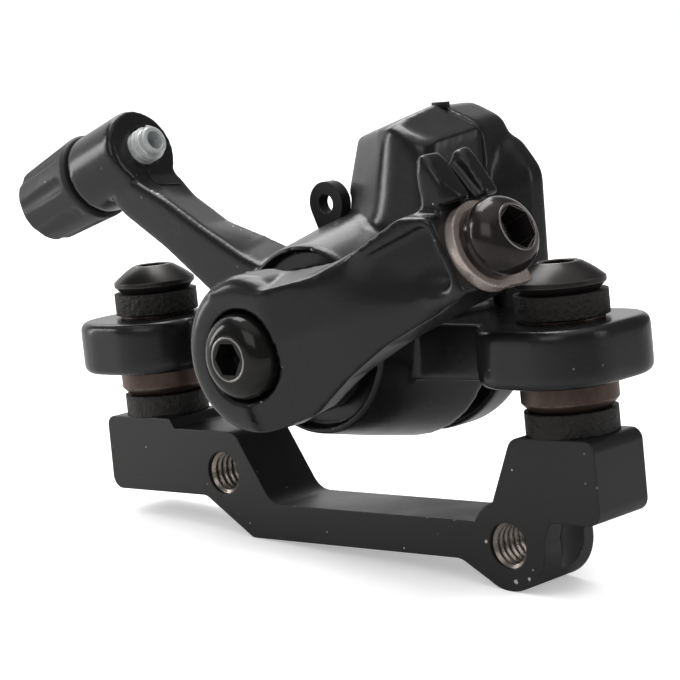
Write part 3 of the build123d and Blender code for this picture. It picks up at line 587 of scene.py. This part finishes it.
# cast and moulded pieces get the rounded edges that their solids don't have: "softer" lists more rounding as
# a place in the drawing, a radius and its steps, "softEdge" gives the place across and down in the picture
castShape = {"weld": 0.002, "factor": 0.5, "smooth": 60}
castings = {
    "lever_arm": {
        "name": "castLever", "body": "lever", "finish": "leverCasting", "slot": "black_casting",
        "voxel": 0.3, "steps": 9,
        "softer": [((18.0, -20.6, 20.9), 5.5, 60), ((25.0, -19.2, 19.4), 4.0, 40),
                   ((32.5, -17.6, 18.2), 4.0, 60), ((31.0, -14.8, 33.0), 4.6, 12),
                   ((30.0, -7.0, 17.0), 3.4, 80)],
        "softEdge": [(352, 292, 5.0, 200), (370, 295, 5.0, 200), (390, 297, 4.0, 120),
                     (424, 294, 3.2, 120), (436, 291, 3.0, 120), (418, 157, 2.0, 50),
                     (436, 154, 1.8, 40), (450, 153, 1.8, 36), (464, 151, 1.8, 36)]},
    "outer_body": {
        "name": "castOuterHalf", "body": "caliper", "finish": "bodyCasting", "slot": "black_casting",
        "voxel": 0.38, "steps": 8,
        "softer": [((3.0, -0.6, 30.0), 9.0, 14), ((-24.0, -5.0, 32.5), 5.0, 14)],
        "softEdge": [(390, 131, 3.4, 40), (386, 145, 3.6, 50), (383, 160, 3.8, 50), (380, 175, 3.8, 50),
                     (377, 190, 3.8, 50), (375, 205, 3.6, 50), (418, 143, 2.6, 40), (420, 133, 2.6, 30)]},
    "inner_body": {
        "name": "castInnerHalf", "body": "caliper", "finish": "blackCasting", "slot": "black_casting",
        "voxel": 0.36, "steps": 9,
        "softer": [((18.0, 14.0, 36.5), 6.0, 40)]},
    "adjuster_knob": {
        "name": "ribbedKnob", "body": "adjuster", "finish": "blackPlastic", "slot": "black_plastic",
        "voxel": 0.2, "steps": 5,
        "grooves": {"count": 8, "radius": 1.6, "ring": 7.12, "lean": 1.6, "start": 13.3, "length": 14.0,
                    "rounding": 1.2, "roundSteps": 5, "sides": 40}},
}
for nodeName, info in castings.items():
    cast = bpy.data.objects.new(info["name"], nodes[nodeName].data.copy())
    bpy.context.scene.collection.objects.link(cast)
    bpy.ops.object.select_all(action="DESELECT")
    cast.select_set(True)
    bpy.context.view_layer.objects.active = cast
    bpy.ops.object.mode_set(mode="EDIT")
    bpy.ops.mesh.select_all(action="SELECT")
    bpy.ops.mesh.remove_doubles(threshold=castShape["weld"] * mm)
    bpy.ops.object.mode_set(mode="OBJECT")
    if "grooves" in info:
        cutGrooves(cast, info["grooves"])
    remesh = cast.modifiers.new("remesh", "REMESH")
    remesh.mode = "VOXEL"
    remesh.voxel_size = info["voxel"] * mm
    bpy.ops.object.modifier_apply(modifier="remesh")
    smooth = cast.modifiers.new("smooth", "SMOOTH")
    smooth.factor = castShape["factor"]
    smooth.iterations = info["steps"]
    bpy.ops.object.modifier_apply(modifier="smooth")
    zones = [(fromDrawing(*centre), radius, steps) for centre, radius, steps in info.get("softer", [])]
    for px, py, radius, steps in info.get("softEdge", []):
        spot = onSurface(nodeName, px, py)
        if spot:
            zones.append((spot, radius, steps))
    # a zone works fully in its inner half and fades out to its radius
    for count, (middle, radius, steps) in enumerate(zones):
        zone = cast.vertex_groups.new(name=f"softer{count}")
        for vert in cast.data.vertices:
            away = (vert.co - middle).length / (radius * mm)
            if away < 1:
                zone.add([vert.index], min(1.0, 2 * (1 - away)), "REPLACE")
        smooth = cast.modifiers.new("softer", "SMOOTH")
        smooth.factor = castShape["factor"]
        smooth.iterations = steps
        smooth.vertex_group = zone.name
        bpy.ops.object.modifier_apply(modifier="softer")
    cast.vertex_groups.clear()
    settle(cast, info["name"], info["body"], info["finish"], smooth=castShape["smooth"])
    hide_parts(nodeName)
    surfaces[nodeName] = cast
bpy.context.view_layer.update()

# bare threads in the two frame holes
holeThread = {"holes": [(-21.1, -7.3), (29.45, -14.0)], "face": -5.0, "root": 3.02, "crest": 2.52,
              "pitch": 1.0, "turns": 9, "steps": 40, "start": 0.55}
for count, (x, z) in enumerate(holeThread["holes"]):
    ridge = threadRidge(holeThread)
    ridge.rotation_euler = (-math.pi / 2, 0, 0)
    ridge.location = fromDrawing(x, holeThread["face"], z)
    settle(ridge, f"holeThread{count + 1}", "caliper", "bareThread", smooth=25)

# hollow cable barrel with its thread: a bored cylinder joined with the ridge
barrelThread = {"root": 2.05, "crest": 2.5, "pitch": 0.8, "turns": 16, "steps": 36, "start": -1.75}
bpy.ops.object.select_all(action="DESELECT")
bpy.ops.mesh.primitive_cylinder_add(vertices=barrelInfo["sides"], radius=barrelInfo["core"] * mm,
                                    depth=barrelInfo["length"] * mm,
                                    location=(0, 0, (barrelInfo["length"] / 2 - barrelInfo["proud"]) * mm))
barrel = bpy.context.object
bpy.ops.object.transform_apply(location=True)
for direction in (-1, 1):
    pickFaces(barrel, lambda centre, normal: normal.z * direction > squarely)
    bpy.ops.mesh.inset(thickness=barrelInfo["chamfer"] * mm)
    bpy.ops.transform.translate(value=(0, 0, direction * barrelInfo["chamferRise"] * mm))
    bpy.ops.mesh.inset(thickness=(barrelInfo["core"] - barrelInfo["chamfer"] - barrelInfo["bore"]) * mm)
    bpy.ops.object.mode_set(mode="OBJECT")
pickFaces(barrel, lambda centre, normal: abs(normal.z) > squarely
          and math.hypot(centre.x, centre.y) < barrelInfo["endWithin"] * mm)
bpy.ops.mesh.bridge_edge_loops()
bpy.ops.mesh.select_all(action="SELECT")
bpy.ops.mesh.normals_make_consistent(inside=False)
bpy.ops.object.mode_set(mode="OBJECT")
ridge = threadRidge(barrelThread)
bpy.ops.object.select_all(action="DESELECT")
ridge.select_set(True)
barrel.select_set(True)
bpy.context.view_layer.objects.active = barrel
bpy.ops.object.join()
barrel.rotation_euler = (0, barrelTurn, 0)
barrel.location = fromDrawing(*barrelInfo["root"])
settle(barrel, "cableBarrel", "adjuster", "brightZinc")
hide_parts("adjuster_barrel")

# bright rings round the hexagon sockets, a painted highlight on the socket edges, each a flat ring with its
# underside cut away
rimShape = {"thickness": 0.15, "flatten": 0.5, "cut": -0.03, "around": 72, "across": 12}
rimPlaces = [
    {"name": "leverBoltRim", "body": "lever", "radius": 2.78, "centre": (3.0, -24.8, 12.7),
     "axis": (0, -1, 0)},
    {"name": "clampBoltRim", "body": "lever", "radius": 2.98, "centre": (40.78, -11.0, 27.25),
     "axis": (0.9239, 0, 0.3827)},
    {"name": "leftBoltRim", "body": "caliper", "radius": 2.62, "centre": (-37.1, 0.6, 21.37),
     "axis": (0, 0, 1)},
    {"name": "rightBoltRim", "body": "caliper", "radius": 2.62, "centre": (37.1, 0.6, 21.37),
     "axis": (0, 0, 1)},
]
for info in rimPlaces:
    bpy.ops.object.select_all(action="DESELECT")
    bpy.ops.mesh.primitive_torus_add(major_radius=info["radius"] * mm,
                                     minor_radius=rimShape["thickness"] * mm,
                                     major_segments=rimShape["around"], minor_segments=rimShape["across"])
    rim = bpy.context.object
    bpy.ops.object.mode_set(mode="EDIT")
    bpy.ops.mesh.select_all(action="SELECT")
    bpy.ops.transform.resize(value=(1, 1, rimShape["flatten"]))
    bpy.ops.mesh.select_all(action="SELECT")
    bpy.ops.mesh.bisect(plane_co=(0, 0, rimShape["cut"] * mm), plane_no=(0, 0, 1), clear_inner=True,
                        use_fill=False)
    bpy.ops.mesh.select_all(action="SELECT")
    bpy.ops.mesh.normals_make_consistent(inside=False)
    bpy.ops.object.mode_set(mode="OBJECT")
    rim.rotation_mode = "QUATERNION"
    rim.rotation_quaternion = Vector(info["axis"]).to_track_quat("Z", "Y")
    rim.location = fromDrawing(*info["centre"])
    settle(rim, info["name"], info["body"], "paintedHighlightRim", smooth=60)

# end of the thin shim that shows at the top of the parting
shimInfo = {"centre": (12.5, 9.8, 41.05), "size": (2.9, 0.5, 0.9), "edge": 0.12, "edgeSteps": 3}
bpy.ops.object.select_all(action="DESELECT")
bpy.ops.mesh.primitive_cube_add(size=mm, location=fromDrawing(*shimInfo["centre"]))
shim = bpy.context.object
shim.scale = shimInfo["size"]
bpy.ops.object.transform_apply(location=True, rotation=True, scale=True)
bpy.ops.object.mode_set(mode="EDIT")
bpy.ops.mesh.select_all(action="SELECT")
bpy.ops.mesh.bevel(offset=shimInfo["edge"] * mm, segments=shimInfo["edgeSteps"])
bpy.ops.object.mode_set(mode="OBJECT")
settle(shim, "partingShim", "caliper", "blackOxide", smooth=60)

# raised casting seams, laid on the body along points across and down in the picture
seamInfo = {"node": "outer_body", "width": 0.16}
seams = {
    "bossSeamUpper": [(133, 120), (134.5, 123), (136.5, 127)],
    "bossSeamLower": [(147, 165), (148.5, 172), (151, 178), (155, 182.5), (161, 184.6), (170, 184.4),
                      (180, 184.2), (187, 184.4), (191, 186)],
}
for name, marks in seams.items():
    spots = [onSurface(seamInfo["node"], px, py) for px, py in marks]
    spots = [spot for spot in spots if spot]
    line = bpy.data.curves.new(name, "CURVE")
    line.dimensions = "3D"
    line.bevel_depth = seamInfo["width"] * mm
    line.bevel_resolution = 2
    line.use_fill_caps = True
    path = line.splines.new("POLY")
    path.points.add(len(spots) - 1)
    for point, spot in zip(path.points, spots):
        point.co = (*spot, 1)
    seam = bpy.data.objects.new(name, line)
    bpy.context.scene.collection.objects.link(seam)
    bpy.ops.object.select_all(action="DESELECT")
    seam.select_set(True)
    bpy.context.view_layer.objects.active = seam
    bpy.ops.object.convert(target="MESH")
    settle(bpy.context.object, name, "caliper", "bodyCasting", smooth=60)
